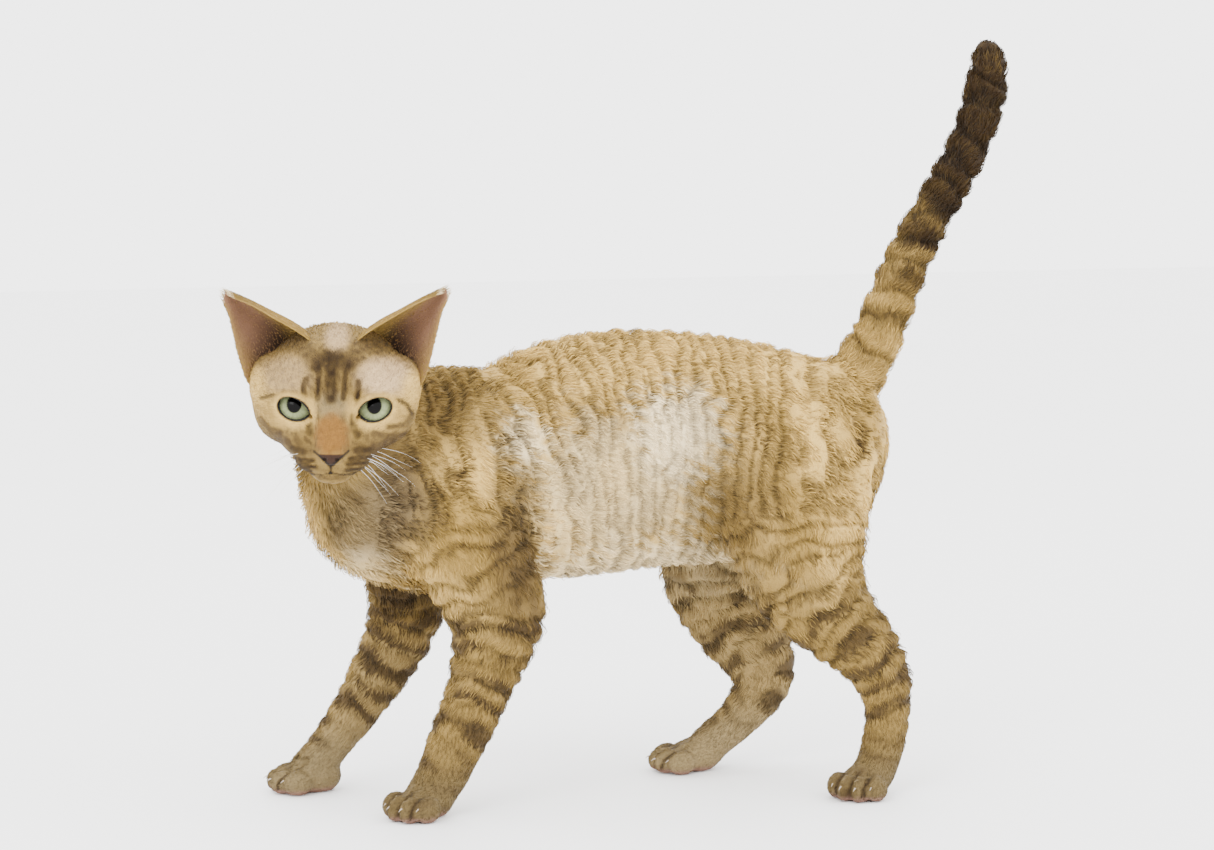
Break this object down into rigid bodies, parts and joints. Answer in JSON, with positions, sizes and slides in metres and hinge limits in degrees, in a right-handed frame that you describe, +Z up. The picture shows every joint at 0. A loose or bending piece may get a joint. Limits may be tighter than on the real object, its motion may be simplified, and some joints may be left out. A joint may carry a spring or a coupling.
{
  "type": "devon rex cat",
  "caption": "Life-size standing cat with a wavy short coat, its head turned to its left, large low-set ears and a raised tail.",
  "frame": {"origin": "the centre of the bounding box's base, on the floor between the paws", "axes": "+Z up, the cat's body faces -Y, and its left side is at +X"},
  "size_m": [0.1452, 0.4588, 0.4193],
  "materials": {
    "coat": "short wavy fur, cream and brown, matte",
    "ear": "thin skin with very short fur, matte",
    "eye": "wet and glossy"
  },
  "bodies": {
    "root": {"head": "coat", "neck": "coat", "torso": "coat", "tail_base": "coat", "tail_middle": "coat", "tail_tip": "coat", "foreleg_left": "coat", "foreleg_right": "coat", "forepaw_left": "coat", "forepaw_right": "coat", "hindleg_left": "coat", "hindleg_right": "coat", "hindpaw_left": "coat", "hindpaw_right": "coat", "ear_left": "ear", "ear_right": "ear", "eye_left": "eye", "eye_right": "eye"}
  },
  "joints": []
}
